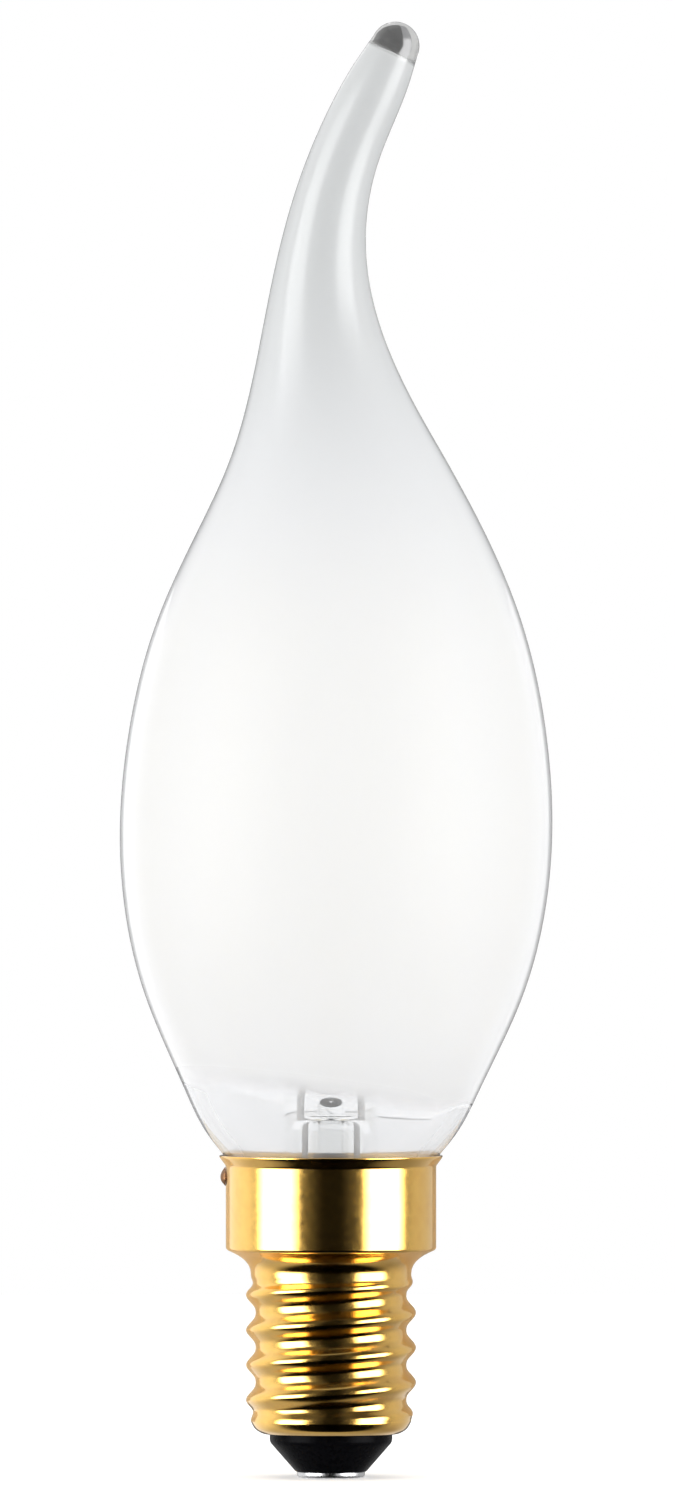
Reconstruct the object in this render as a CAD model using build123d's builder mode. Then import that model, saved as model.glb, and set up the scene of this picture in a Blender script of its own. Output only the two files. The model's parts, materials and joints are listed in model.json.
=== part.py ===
# Frosted candle bulb with a bent flame tip on a small screw cap.
# Millimetres, +Z up along the cap axis, origin on the face of the centre contact, tip bent to +X.

import os
from math import cos, pi, sin, sqrt

from build123d import *

# Fits
slip = 0.03
glass_gap = 0.12
cut_over = 0.6

# Centre contact
contact_radius = 2.75
contact_depth = 0.45
contact_edge = 0.3
cup_radius = 1.1
cup_bore = 0.7
cup_height = 1.9
solder_depth = 1.3

# Insulator
insulator_tip_radius = 2.85
insulator_cone = 2.4
insulator_radius = 4.95
insulator_land = 0.65
insulator_disc = 2.4
insulator_edge = 0.5

# Screw shell
sheet = 0.25
shell_height = 22.5
collar_radius = 8.5
collar_height = 7.6
collar_corner = 0.45
rim_flare = 0.65
flare_height = 0.85
shoulder_drop = 0.9
shoulder_fillet = 1.5
lip_edge = 1.0
lip_slant = 0.35
thread_radius = 6.87
thread_root = 6.1
thread_pitch = 2.82
thread_clear = 1.1
thread_fade = 1.3
thread_crest = 11.88
thread_sections = 38

# Side weld
weld_half_height = 0.85
weld_proud = 0.4
weld_drop = 1.75

# Glass neck, set in the collar
neck_radius = 7.2
neck_insert = 5.6
neck_straight = 2.4
glass_wall = 0.7

# Glass body: distance along the axis above the rim, and radius there
sill_rise, sill_radius = 1.2, 9.68
throat_rise, throat_radius = 5.2, 11.88
flank_rise, flank_radius = 12.6, 15.16
belly_rise, belly_radius = 19.4, 16.93
bulge_rise, bulge_radius = 26.8, 17.48
crown_rise, crown_radius = 34.4, 16.84
shoulder_rise, shoulder_radius = 43.7, 14.55
slope_rise, slope_radius = 50.8, 11.42
waist_rise, waist_radius = 58.6, 7.6
root_rise, root_radius = 65.5, 5.15
tail_rise, tail_radius = 74.6, 3.32
bend_rise, bend_radius = 82.6, 2.7
hook_rise, hook_radius = 88.4, 2.36
drop_radius = 1.96
cavity_end_rise, cavity_end_radius = 90.2, 1.4

# Glass axis: height above the rim and sideways offset
lean_height, lean_offset = 38.0, 0.62
cross_height, cross_offset = 54.6, 0.3
back_height, back_offset = 69.6, -0.84
swing_height, swing_offset = 81.0, 1.2
tip_height, tip_offset = 89.64, 5.2
tip_run, tip_climb = 0.42, 0.907

# Stem
stem_radius = 3.8
stem_wall = 0.95
stem_cone = 3.2
stem_rise = 5.7
stem_dome = 1.2
stem_solid = 2.4
press_height = 2.9
press_thickness = 2.6
press_wall = 0.55
vent_width = 1.85
vent_height = 0.8
vent_rise = 4.46

# Exhaust tube
exhaust_radius = 1.45
exhaust_bore = 0.95
exhaust_tail = 3.2
exhaust_tip = 1.0

# Wires
lead_radius = 0.25
lead_spread = 2.1
lead_grip = 1.6
support_width = 0.6
support_thickness = 0.4
supply_radius = 0.15
wire_room = 0.2

# LED filaments
filament_count = 4
filament_length = 32.5
filament_width = 1.7
filament_thickness = 1.1
filament_start = 12.2
foot_radius = 5.3
head_radius = 3.3
tab_length = 2.4
tab_width = 0.9
tab_thickness = 0.2

# Rod
rod_radius = 1.3
rod_over = 1.0

# Driver
board_width = 8.8
board_height = 9.6
board_thickness = 1.0
rectifier_width, rectifier_height, rectifier_depth = 4.4, 3.6, 1.5
rectifier_rise = 3.6
chip_width, chip_height, chip_depth = 3.4, 2.0, 1.1
chip_rise = 0.5
can_radius = 2.0
can_height = 6.4
can_rise = 3.0
fuse_width, fuse_height, fuse_depth = 2.6, 1.4, 0.6
fuse_rise = 1.0
fuse_side = 2.4
live_grip = 3.0
shell_wire_side = 3.6
shell_wire_grip = 4.0

# Levels
cone_top = contact_depth + insulator_cone
shell_base = cone_top + insulator_land
rim_top = shell_base + shell_height
collar_base = rim_top - collar_height
shoulder_base = collar_base - shoulder_drop
thread_base = shell_base + lip_edge
thread_top = shoulder_base - thread_clear
insulator_seat = shell_base + sheet
insulator_top = insulator_seat + insulator_disc
weld_level = rim_top - weld_drop
neck_end = rim_top - neck_insert
body_base = neck_end + neck_straight
stem_top = rim_top + stem_rise
stem_inside = stem_top - stem_solid
vent_level = rim_top + vent_rise
press_top = stem_top + press_height
exhaust_end = neck_end - exhaust_tail
filament_foot = rim_top + filament_start
filament_head = filament_foot + filament_length
foot_level = filament_foot - tab_length / 2
head_level = filament_head + tab_length / 2
rod_top = head_level + rod_over
board_base = insulator_top + slip
board_top = board_base + board_height
solder_top = contact_depth + solder_depth

# Radii and routes that follow from the fits
thread_mean = (thread_radius + thread_root) / 2
thread_wave = (thread_radius - thread_root) / 2
bore_radius = thread_root - sheet
lip_radius = insulator_radius + slip
rim_radius = collar_radius + rim_flare
rim_inside = rim_radius - sheet * sqrt(1 + (rim_flare / flare_height) ** 2)
collar_inside = collar_radius - sheet
shoulder_run = collar_radius - thread_mean
shoulder_sheet = sheet * sqrt(1 + (shoulder_drop / shoulder_run) ** 2)
bore_shoulder = collar_base + shoulder_sheet - shoulder_drop * (collar_radius - bore_radius) / shoulder_run
collar_shoulder = collar_base + shoulder_sheet - shoulder_drop * sheet / shoulder_run
seal_radius = neck_radius - glass_wall - slip
shell_wire_route = collar_inside - supply_radius - slip
shell_wire_cross = (collar_shoulder + neck_end - stem_wall) / 2
board_front = lead_radius + slip
board_back = board_front + board_thickness
supply_row = board_front - slip - supply_radius
filament_lean = (foot_radius - head_radius) / filament_length
tab_reach = tab_thickness / 2 + slip
foot_reach = foot_radius + filament_lean * tab_length / 2 - tab_reach
foot_corner = foot_reach / sqrt(2)
foot_bar = foot_corner - support_width / 2
head_levels = (head_level - support_thickness / 2 - slip, head_level + support_thickness / 2)


def finish(piece, name):
    piece.part.label = name
    export_step(piece.part, f"parts/{name}.step")


def wire_through(radius, *points):
    """Round wire through the points, with mitred corners."""
    with BuildPart() as wire:
        with BuildLine() as route:
            Polyline(*points)
        with BuildSketch(Plane(points[0], z_dir=Vector(points[1]) - Vector(points[0]))):
            Circle(radius)
        sweep(path=route.line, transition=Transition.RIGHT)
    return wire


def block_on(plane, centre, width, height, depth):
    """Rectangular component standing on a face of the board."""
    with BuildPart() as block:
        with BuildSketch(plane):
            with Locations(centre):
                Rectangle(width, height)
        extrude(amount=depth)
    return block


os.makedirs("parts", exist_ok=True)

# Screw shell: flared rim, collar, shoulder and bottom lip turned over the insulator, rolled thread between
with BuildPart() as screw_shell:
    with BuildSketch(Plane.XZ):
        with BuildLine():
            FilletPolyline(
                (0, rim_top),
                (rim_radius, rim_top),
                (collar_radius, rim_top - flare_height),
                (collar_radius, collar_base + collar_corner),
                (collar_radius - collar_corner, collar_base - collar_corner * shoulder_drop / shoulder_run),
                (thread_mean, shoulder_base),
                (thread_mean, thread_top),
                (0, thread_top),
                radius=[0, 0, 0, 0, 0, shoulder_fillet, 0, 0],
                close=True,
            )
        make_face()
        with BuildLine():
            Polyline(
                (0, thread_base),
                (thread_mean, thread_base),
                (thread_mean - lip_slant, shell_base + lip_slant),
                (thread_mean - lip_edge, shell_base),
                (0, shell_base),
                close=True,
            )
        make_face()
    revolve(axis=Axis.Z)
    for section in range(thread_sections + 1):
        height = thread_base + (thread_top - thread_base) * section / thread_sections
        fade = min((height - thread_base) / thread_fade, (thread_top - height) / thread_fade, 1.0)
        wave = thread_wave * (1 - cos(pi * fade)) / 2
        turn = pi + 2 * pi * (height - thread_crest) / thread_pitch
        with BuildSketch(Plane((wave * cos(turn), wave * sin(turn), height))):
            Circle(thread_mean)
    loft()
    with BuildSketch(Plane.XZ):
        with BuildLine():
            Polyline(
                (0, shell_base),
                (lip_radius, shell_base),
                (lip_radius, insulator_seat),
                (bore_radius - insulator_edge, insulator_seat),
                (bore_radius, insulator_seat + insulator_edge),
                (bore_radius, bore_shoulder),
                (collar_inside, collar_shoulder),
                (collar_inside, rim_top - flare_height),
                (rim_inside, rim_top),
                (0, rim_top),
                close=True,
            )
        make_face()
    revolve(axis=Axis.Z, mode=Mode.SUBTRACT)
finish(screw_shell, "screw_shell")

# Glass envelope: round sections on a swaying axis, hollow from the neck to the foot of the solid drop
with BuildLine() as glass_axis:
    Spline(
        (0, 0, body_base),
        (lean_offset, 0, rim_top + lean_height),
        (cross_offset, 0, rim_top + cross_height),
        (back_offset, 0, rim_top + back_height),
        (swing_offset, 0, rim_top + swing_height),
        (tip_offset, 0, rim_top + tip_height),
        tangents=[(0, 0, 1), (tip_run, 0, tip_climb)],
    )
axis = glass_axis.edges()[0]
axis_below_rim = rim_top - body_base
stations = [
    (-axis_below_rim, neck_radius),
    (-flare_height, collar_inside - glass_gap),
    (0, rim_inside - glass_gap),
    (sill_rise, sill_radius),
    (throat_rise, throat_radius),
    (flank_rise, flank_radius),
    (belly_rise, belly_radius),
    (bulge_rise, bulge_radius),
    (crown_rise, crown_radius),
    (shoulder_rise, shoulder_radius),
    (slope_rise, slope_radius),
    (waist_rise, waist_radius),
    (root_rise, root_radius),
    (tail_rise, tail_radius),
    (bend_rise, bend_radius),
    (hook_rise, hook_radius),
]


def across_axis(rise):
    """Plane square to the glass axis at a distance along it above the rim."""
    along = (rise + axis_below_rim) / axis.length
    return Plane(axis @ along, x_dir=(0, 1, 0), z_dir=axis % along)


tip_plane = Plane(axis @ 1, x_dir=(0, 1, 0), z_dir=axis % 1)
with BuildPart() as glass_envelope:
    for rise, radius in stations:
        with BuildSketch(across_axis(rise)):
            Circle(radius)
    with BuildSketch(tip_plane):
        Circle(drop_radius)
    loft()
    with Locations(tip_plane):
        Sphere(drop_radius, arc_size1=0, align=(Align.CENTER, Align.CENTER, Align.MIN))
    with BuildSketch(Plane.XY.offset(neck_end)):
        Circle(neck_radius)
    extrude(amount=neck_straight)
    for rise, radius in stations:
        with BuildSketch(across_axis(rise)):
            Circle(radius - glass_wall)
    with BuildSketch(across_axis(cavity_end_rise)):
        Circle(cavity_end_radius)
    loft(mode=Mode.SUBTRACT)
    with BuildSketch(Plane.XY.offset(neck_end)):
        Circle(neck_radius - glass_wall)
    extrude(amount=neck_straight, mode=Mode.SUBTRACT)
finish(glass_envelope, "glass_envelope")

# Stem: flare sealed under the glass neck, tube, solid shoulder with the vent, flat press
with BuildPart() as stem:
    with BuildSketch(Plane.XZ):
        with BuildLine():
            stem_line = Polyline(
                (neck_radius, neck_end),
                (seal_radius, neck_end),
                (stem_radius, neck_end + stem_cone),
                (stem_radius, stem_inside),
            )
            offset(stem_line, amount=stem_wall, kind=Kind.INTERSECTION, side=Side.LEFT)
        make_face()
        with BuildLine():
            Polyline(
                (0, stem_inside),
                (stem_radius, stem_inside),
                (stem_radius, stem_top - stem_dome),
                (stem_radius - stem_dome, stem_top),
                (0, stem_top),
                close=True,
            )
        make_face()
    revolve(axis=Axis.Z)
    with BuildSketch(Plane.XY.offset(stem_top)):
        Rectangle(2 * (lead_spread + lead_radius + press_wall), press_thickness)
    extrude(amount=press_height)
    with BuildSketch(Plane.XY.offset(stem_inside)):
        with Locations((-lead_spread, 0), (lead_spread, 0)):
            Circle(lead_radius + slip)
    extrude(amount=press_top - stem_inside, mode=Mode.SUBTRACT)
    with BuildSketch(Plane.XY.offset(stem_inside)):
        Circle(exhaust_bore)
    extrude(amount=vent_level - stem_inside, mode=Mode.SUBTRACT)
    with BuildSketch(Plane.XZ):
        with Locations((0, vent_level)):
            SlotOverall(vent_width, vent_height)
    extrude(amount=stem_radius, mode=Mode.SUBTRACT)
finish(stem, "stem")

# Exhaust tube, tipped off under the stem
with BuildPart() as exhaust_tube:
    with BuildSketch(Plane.XZ):
        with BuildLine():
            Polyline(
                (0, exhaust_end),
                (exhaust_radius - exhaust_bore, exhaust_end),
                (exhaust_radius, exhaust_end + exhaust_tip),
                (exhaust_radius, stem_inside),
                (exhaust_bore, stem_inside),
                (exhaust_bore, exhaust_end + exhaust_tip),
                (0, exhaust_end + exhaust_tip),
                close=True,
            )
        make_face()
    revolve(axis=Axis.Z)
finish(exhaust_tube, "exhaust_tube")

# LED filaments, standing round the rod and wider at their feet
filament_planes = []
for number in range(filament_count):
    angle = 2 * pi * (number + 0.5) / filament_count
    outward = Vector(cos(angle), sin(angle), 0)
    foot = outward * foot_radius + Vector(0, 0, filament_foot)
    head = outward * head_radius + Vector(0, 0, filament_head)
    filament_planes.append(Plane(foot, x_dir=(-sin(angle), cos(angle), 0), z_dir=head - foot))
strip_length = (head - foot).length
for number, plane in enumerate(filament_planes, start=1):
    with BuildPart() as led_filament:
        with BuildSketch(plane):
            Rectangle(filament_width, filament_thickness)
        extrude(amount=strip_length)
    finish(led_filament, f"led_filament_{number}")

# Metal tabs at both ends of each filament
with BuildPart() as filament_tabs:
    for plane in filament_planes:
        for end in (plane.offset(-tab_length), plane.offset(strip_length)):
            with BuildSketch(end):
                Rectangle(tab_width, tab_thickness)
            extrude(amount=tab_length)
finish(filament_tabs, "filament_tabs")

# Two head strips that cross in the rod, each joining two opposite filament heads
head_planes = [
    Plane((0, 0, level), x_dir=(1, turn, 0), z_dir=(0, 0, 1)) for level, turn in zip(head_levels, (1, -1))
]
for number, plane in enumerate(head_planes, start=1):
    top = plane.origin.Z + support_thickness
    reach = head_radius - filament_lean * (top - filament_head) - tab_reach
    with BuildPart() as head_strip:
        with BuildSketch(plane):
            Rectangle(2 * reach, support_width)
        extrude(amount=support_thickness)
    finish(head_strip, f"head_strip_{number}")

# Glass rod on the press, slotted at its top for the head strips
with BuildPart() as glass_rod:
    with BuildSketch(Plane.XY.offset(press_top)):
        Circle(rod_radius)
    extrude(amount=rod_top - press_top)
    for plane in head_planes:
        with BuildSketch(plane):
            Rectangle(2 * (rod_radius + cut_over), support_width + 2 * slip)
        extrude(amount=rod_top - plane.origin.Z, mode=Mode.SUBTRACT)
finish(glass_rod, "glass_rod")

# Foot supports, each joining two filament feet, and the leads that carry them
for name, side in (("left", -1), ("right", 1)):
    with BuildPart() as foot_support:
        with BuildSketch(Plane.XY.offset(foot_level - support_thickness / 2)):
            with Locations((side * foot_bar, 0)):
                Rectangle(support_width, 2 * foot_corner)
        extrude(amount=support_thickness)
    finish(foot_support, f"foot_support_{name}")
    lead_wire = wire_through(
        lead_radius,
        (side * lead_spread, 0, board_top - lead_grip),
        (side * lead_spread, 0, foot_level),
        (side * (foot_bar - support_width / 2 - slip), 0, foot_level),
    )
    finish(lead_wire, f"lead_wire_{name}")

# Insulator: disc held by the bottom lip, land and cone below it
with BuildPart() as insulator:
    with BuildSketch(Plane.XZ):
        with BuildLine():
            Polyline(
                (cup_radius + slip, contact_depth),
                (insulator_tip_radius, contact_depth),
                (insulator_radius, cone_top),
                (insulator_radius, insulator_seat),
                (bore_radius - insulator_edge - slip, insulator_seat),
                (bore_radius - slip, insulator_seat + insulator_edge),
                (bore_radius - slip, insulator_top),
                (cup_radius + slip, insulator_top),
                close=True,
            )
        make_face()
    revolve(axis=Axis.Z)
finish(insulator, "insulator")

# Contact plate with its solder cup
with BuildPart() as contact_plate:
    with BuildSketch(Plane.XZ):
        with BuildLine():
            Polyline(
                (0, 0),
                (contact_radius - contact_edge, 0),
                (contact_radius, contact_edge),
                (contact_radius, contact_depth),
                (cup_radius, contact_depth),
                (cup_radius, contact_depth + cup_height),
                (cup_bore, contact_depth + cup_height),
                (cup_bore, contact_depth),
                (0, contact_depth),
                close=True,
            )
        make_face()
    revolve(axis=Axis.Z)
finish(contact_plate, "contact_plate")

# Solder plug in the cup
with BuildPart() as contact_solder:
    with BuildSketch(Plane.XY.offset(contact_depth)):
        Circle(cup_bore - slip)
    extrude(amount=solder_depth)
finish(contact_solder, "contact_solder")

# Side weld: round bead on the collar under the rim
weld_radius = (weld_half_height ** 2 + weld_proud ** 2) / (2 * weld_proud)
with BuildPart() as side_weld:
    with Locations((weld_radius - weld_proud - collar_radius, 0, weld_level)):
        Sphere(weld_radius)
    with BuildSketch(Plane.XY.offset(collar_base)):
        Circle(collar_radius + slip)
    extrude(amount=collar_height, mode=Mode.SUBTRACT)
finish(side_weld, "side_weld")

# Cement ring between glass neck and collar, open where the shell wire climbs
with BuildPart() as cap_cement:
    with BuildSketch(Plane.XY.offset(neck_end)):
        Circle(collar_inside - slip)
        Circle(neck_radius + slip, mode=Mode.SUBTRACT)
        with Locations((-collar_radius, 0)):
            Rectangle(2 * (collar_radius - seal_radius), 2 * (supply_radius + wire_room), mode=Mode.SUBTRACT)
    extrude(amount=neck_straight)
finish(cap_cement, "cap_cement")

# Driver board, standing on the insulator, with its components
with BuildPart() as driver_board:
    with BuildSketch(Plane.XY.offset(board_base)):
        with Locations((0, (board_front + board_back) / 2)):
            Rectangle(board_width, board_thickness)
    extrude(amount=board_height)
finish(driver_board, "driver_board")

front_face = Plane((0, board_front - slip, board_base), x_dir=(1, 0, 0), z_dir=(0, -1, 0))
back_face = Plane((0, board_back + slip, board_base), x_dir=(-1, 0, 0), z_dir=(0, 1, 0))
rectifier = block_on(
    front_face, (0, rectifier_rise + rectifier_height / 2), rectifier_width, rectifier_height, rectifier_depth
)
finish(rectifier, "rectifier")
driver_chip = block_on(back_face, (0, chip_rise + chip_height / 2), chip_width, chip_height, chip_depth)
finish(driver_chip, "driver_chip")
fuse_resistor = block_on(front_face, (fuse_side, fuse_rise + fuse_height / 2), fuse_width, fuse_height, fuse_depth)
finish(fuse_resistor, "fuse_resistor")
with BuildPart() as capacitor:
    with BuildSketch(Plane.XY.offset(board_base + can_rise)):
        with Locations((0, board_back + slip + can_radius)):
            Circle(can_radius)
    extrude(amount=can_height)
finish(capacitor, "capacitor")

# Supply wires: centre contact to board, board to the weld on the collar
live_wire = wire_through(supply_radius, (0, supply_row, solder_top), (0, supply_row, board_base + live_grip))
finish(live_wire, "live_wire")
shell_wire = wire_through(
    supply_radius,
    (-shell_wire_side, supply_row, board_top - shell_wire_grip),
    (-shell_wire_side, supply_row, shell_wire_cross),
    (-shell_wire_route, supply_row, shell_wire_cross),
    (-shell_wire_route, supply_row, weld_level),
)
finish(shell_wire, "shell_wire")
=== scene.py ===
# Looks of the frosted candle bulb: glass with a clear neck and tip, gold screw cap, and the studio.
import json
from math import cos, pi, radians, sin

import bmesh
import bpy
import numpy as np
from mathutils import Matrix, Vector


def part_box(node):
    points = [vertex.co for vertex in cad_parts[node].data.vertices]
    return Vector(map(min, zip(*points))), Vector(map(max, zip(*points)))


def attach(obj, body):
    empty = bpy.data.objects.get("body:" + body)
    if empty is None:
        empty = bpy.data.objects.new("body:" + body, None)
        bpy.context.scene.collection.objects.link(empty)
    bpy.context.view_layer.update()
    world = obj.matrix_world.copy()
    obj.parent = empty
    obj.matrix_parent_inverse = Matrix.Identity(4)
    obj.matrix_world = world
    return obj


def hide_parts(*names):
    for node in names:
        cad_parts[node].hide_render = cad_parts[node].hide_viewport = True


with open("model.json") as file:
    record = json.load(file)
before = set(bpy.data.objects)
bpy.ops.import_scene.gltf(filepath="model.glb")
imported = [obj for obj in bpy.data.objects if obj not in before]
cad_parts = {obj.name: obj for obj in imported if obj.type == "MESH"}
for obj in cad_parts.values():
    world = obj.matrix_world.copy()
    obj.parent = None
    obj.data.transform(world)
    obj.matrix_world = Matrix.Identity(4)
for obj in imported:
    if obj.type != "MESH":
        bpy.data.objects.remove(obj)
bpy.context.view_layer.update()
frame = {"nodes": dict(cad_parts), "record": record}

# Lengths below are in millimetres and angles in degrees
MM = 0.001
NEXT_TO_NOTHING = 1e-6

# Fineness of the meshes: points round a ring, steps over a fillet, and longest steps along an outline
AROUND = 160
FILLET_STEPS = 6
LONG_STEP, STEM_STEP, RIM_STEP = 0.6, 0.4, 0.25
ROUND_UP = 0.999

# Picture: its pixels, the length of one at the bulb, and where the cap axis and the contact lie in it
PICTURE_WIDTH, PICTURE_HEIGHT = 675, 1500
PIXEL = 0.0808
AXIS_COLUMN, CONTACT_ROW = 331.0, 1477.0
CAMERA_DISTANCE = 1200.0
CAMERA_REACH = 100000.0
SENSOR = 36.0

# Levels of the pieces, from the frame
RIM_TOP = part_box("screw_shell")[1].z / MM
SHELL_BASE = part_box("screw_shell")[0].z / MM
NECK_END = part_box("glass_envelope")[0].z / MM
STEM_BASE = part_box("stem")[0].z / MM
STEM_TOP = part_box("glass_rod")[0].z / MM
EXHAUST_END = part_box("exhaust_tube")[0].z / MM
EXHAUST_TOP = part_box("exhaust_tube")[1].z / MM
INSULATOR_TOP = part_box("insulator")[1].z / MM
INSULATOR_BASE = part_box("insulator")[0].z / MM
CUP_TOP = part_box("contact_plate")[1].z / MM

# Glass: run along its axis above the rim and radius there, then height above the rim and sideways offset
GLASS_OUTLINE = [
    (-3.2, 7.2), (-0.85, 8.13), (0.0, 8.715), (1.2, 9.68), (5.2, 11.88), (12.6, 15.16),
    (19.4, 16.93), (26.8, 17.48), (34.4, 16.84), (43.7, 14.55), (50.8, 11.42), (58.6, 7.6),
    (65.5, 5.15), (74.6, 3.32), (82.6, 2.7), (88.4, 2.36),
]
GLASS_AXIS = [(-3.2, 0.0), (38.0, 0.62), (54.6, 0.3), (69.6, -0.84), (81.0, 1.2), (89.64, 5.2)]
TIP_SLOPE = 0.463
DROP_RADIUS = 1.96
GLASS_WALL = 0.7
CAVITY_END, CAVITY_RADIUS = 90.2, 1.4
CAVITY_SHOULDER = 1.2
CAVITY_TAPER = (0.6, 1.0), (0.15, 0.7), (0.0, 0.0)
FACET_ROOM = 0.012
AXIS_STEPS, OUTER_STEPS, INNER_STEPS, DROP_STEPS = 600, 200, 160, 13
SLOPE_STEP = 0.01
OUTSIDE, INSIDE = 0, 1

# Frost: rise of its edge on the neck, how the edge leans, waves and softens, and a thin dark line of painted
# shade along the edge
FROST_LINE = 4.4
FROST_LEAN = 0.12, 0.095
FROST_WAVE, WAVE_SIZE = 0.04, 3.0
FROST_ACROSS, FROST_SOFT = (-4.0, 6.0), (1.1, 0.16)
RUN_UP_SIDES, RUN_UP_HEIGHT = (8.5, 11.0), 1.0
# Painted shade: a thin dark line along the frost edge, faint towards the left and full on the right
EDGE_SHADE_SIDES, EDGE_SHADE_FAINT, EDGE_SHADE_GREY = (8.0, 12.0), 0.03, (0.03, 0.03, 0.03)
HALFWAY_PEAK = 4.0
NECK_HAZE = 0.17
FROST_TIP, FROST_TIP_SOFT = 90.1, 0.2
INNER_FADE, INNER_TIP_SOFT = (0.5, 1.0), 1.0

# Frosted glass: whites of the body, greys of tail and drop that are painted shade, gloss and the light that
# comes through
FROST_WHITES = (0.967, 0.974, 0.993), (0.978, 0.984, 0.998)
CLOUD_SIZE = 6.0
# The tail's grey is painted shade: the narrow tail is drawn darker than the body
TAIL_RISE, TAIL_PAINTED_SHADE = (40.0, 75.0), (0.728, 0.742, 0.745)
# The drop's grey is painted shade: its clear glass is tinted to darken what shows through it
DROP_PAINTED_SHADE = 0.66, 0.66, 0.655
BODY_COAT, TAIL_COAT, COAT_ROUGHNESS = 0.1, 0.48, 0.03
BODY_GLOW, TAIL_GLOW = 0.72, 0.2
FROST_CLEAR = 0.03
FULL_FROST, FROST_ROUGHNESS = 0.96, 0.5
GRAZING = 0.55, 0.85
GLASS_IOR, STEM_IOR, VENT_IOR = 1.5, 1.18, 1.15

# Other finishes: colours, sizes of grain, ranges of roughness and depths of relief
NOISE_MIDDLE = 0.3, 0.7
CLEAR_COLOUR, CLEAR_GRAIN, CLEAR_ROUGHNESS = (0.985, 0.99, 0.987, 1), 0.8, (0.0, 0.05)
CLEAR_WAVE, CLEAR_RELIEF = 1.6, 0.01
# Vent walls: near black and barely clear, painted shade inside the hole
VENT_SHADE_COLOUR, VENT_CLEAR = (0.05, 0.05, 0.04, 1), 0.15
VENT_GRAIN, VENT_ROUGHNESS = 0.3, (0.2, 0.4)
GOLD, GOLD_TARNISHED = (0.88, 0.54, 0.13), (0.83, 0.48, 0.11)
GOLD_COAT, GOLD_COAT_ROUGHNESS = 0.5, 0.06
TARNISH_SIZE, TARNISH_MIDDLE = 1.4, (0.42, 0.72)
SCUFF_SIZE, SCUFF_MIDDLE, GOLD_ROUGHNESS = 0.5, (0.3, 0.75), (0.10, 0.22)
GOLD_WAVE, GOLD_GRAIN, GOLD_GRAIN_SHARE, GOLD_RELIEF = 2.5, 0.12, 0.05, 0.012
VITRITE, VITRITE_SPECK = (0.0015, 0.0015, 0.002), (0.005, 0.005, 0.0065)
SPECK_SIZE, VITRITE_ROUGHNESS, VITRITE_GLOSS, VITRITE_RELIEF = 0.35, (0.22, 0.36), 0.02, 0.015

# Screw shell
SHEET = 0.25
COLLAR_RADIUS, COLLAR_HEIGHT = 8.5, 7.6
RIM_FLARE, FLARE_HEIGHT = 0.65, 0.85
RIM_LAND, RIM_TRIM = 0.3, 0.02
SHOULDER_DROP = 0.9
RIM_FILLET, FLARE_FILLET, COLLAR_FILLET, SHOULDER_FILLET = (0.2, 0.4), 0.12, 0.22, (1.7, 1.05)
THREAD_RADIUS, THREAD_ROOT, THREAD_PITCH = 6.87, 6.1, 2.82
THREAD_CLEAR, THREAD_FADE, THREAD_CREST = 1.1, 1.3, 11.88
THREAD_STEPS, CREST_SHARPNESS = 180, 1.3
LIP_EDGE, LIP_SLANT = 1.0, 0.35
LIP_FILLETS = 0.3, 0.2, 0.05
BORE_CLEAR = 0.1
SLIP = 0.03

# Insulator, centre contact with its cup, and side weld
INSULATOR_RADIUS, INSULATOR_TIP, INSULATOR_CONE, INSULATOR_EDGE = 4.95, 2.85, 2.4, 0.5
TIP_FILLET, CONE_FILLET = 0.12, 0.25
CONTACT_RADIUS, CONTACT_FILLET = 2.75, 0.28
CUP_RADIUS, CUP_BORE = 1.1, 0.7
SMALL_FILLET = 0.05
WELD_LEVEL, WELD_HALF, WELD_PROUD = 24.25, (0.8, 0.85), 0.4
WELD_RINGS, WELD_AROUND = 14, 48

# Waves in the rim and the swell of the weld: how many go round, where they start and their size
WELD_SHRINK, WELD_RAGS = 0.1, ((3, 1, 0.06), (7, 0, 0.04))
WELD_SWELL = 2, 0.5, 0.2

# Stem: flare, tube, shoulder with the vent, flat press; exhaust tube
FLARE_RADIUS, FLARE_INSIDE, FLARE_SLANT, FLARE_ROUNDS = 7.2, 6.47, 0.45, (0.3, 0.1)
STEM_RADIUS, STEM_WALL, STEM_CONE, CONE_OVER, CONE_ROUND = 3.8, 0.95, 3.2, 0.6, 1.0
STEM_INSIDE, STEM_SHOULDER, INSIDE_ROUNDS = 29.3, 30.5, (0.15, 1.7)
PRESS_HALF, PRESS_HEIGHT, PRESS_EDGE, PRESS_STEPS = (2.9, 1.3), 2.4, (0.25, 0.3), 6
ELLIPSE, PRESS_SQUARENESS, SHOULDER_STEPS = 2, 4, 12
VENT_LEVEL, VENT_HALF, VENT_THROAT, VENT_END = 30.46, (0.925, 0.4), 0.12, -0.8
VENT_AROUND, VENT_OVER, VENT_CREASE = 40, 1, 40.0
EXHAUST_RADIUS, EXHAUST_BORE, EXHAUST_TIP = 1.45, 0.95, 1.0
EXHAUST_ROUNDS = 0.2, 0.4, 0.3

# Studio, as metal and glass mirror it: angles from the camera side round to the back and up from level
SOFTBOX_SIDES, SOFTBOX_EDGE = (40.0, 83.5), 8.0
SOFTBOX_LEVELS, SOFTBOX_FADE, SOFTBOX_GLOW = (-20.0, 28.0), 9.0, 8.5
FRONT_SIDES, FRONT_GLOW, SIDE_GLOW = (8.0, 36.0), 0.008, 0.16
BACK_SIDES, BACK_GLOW = (70.0, 110.0), 0.9
LOW_LEVELS, LOW_SHARE = (-45.0, -20.0), 0.55
CEILING_LEVELS, CEILING_GLOW = (25.0, 65.0), 0.6
TABLE_LEVELS, TABLE_GLOW = (-26.0, -8.0), 0.03
LEFT_TO_RIGHT, RIGHT_SPAN = (1.2, 0.66), (-0.6, 0.6)

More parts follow.
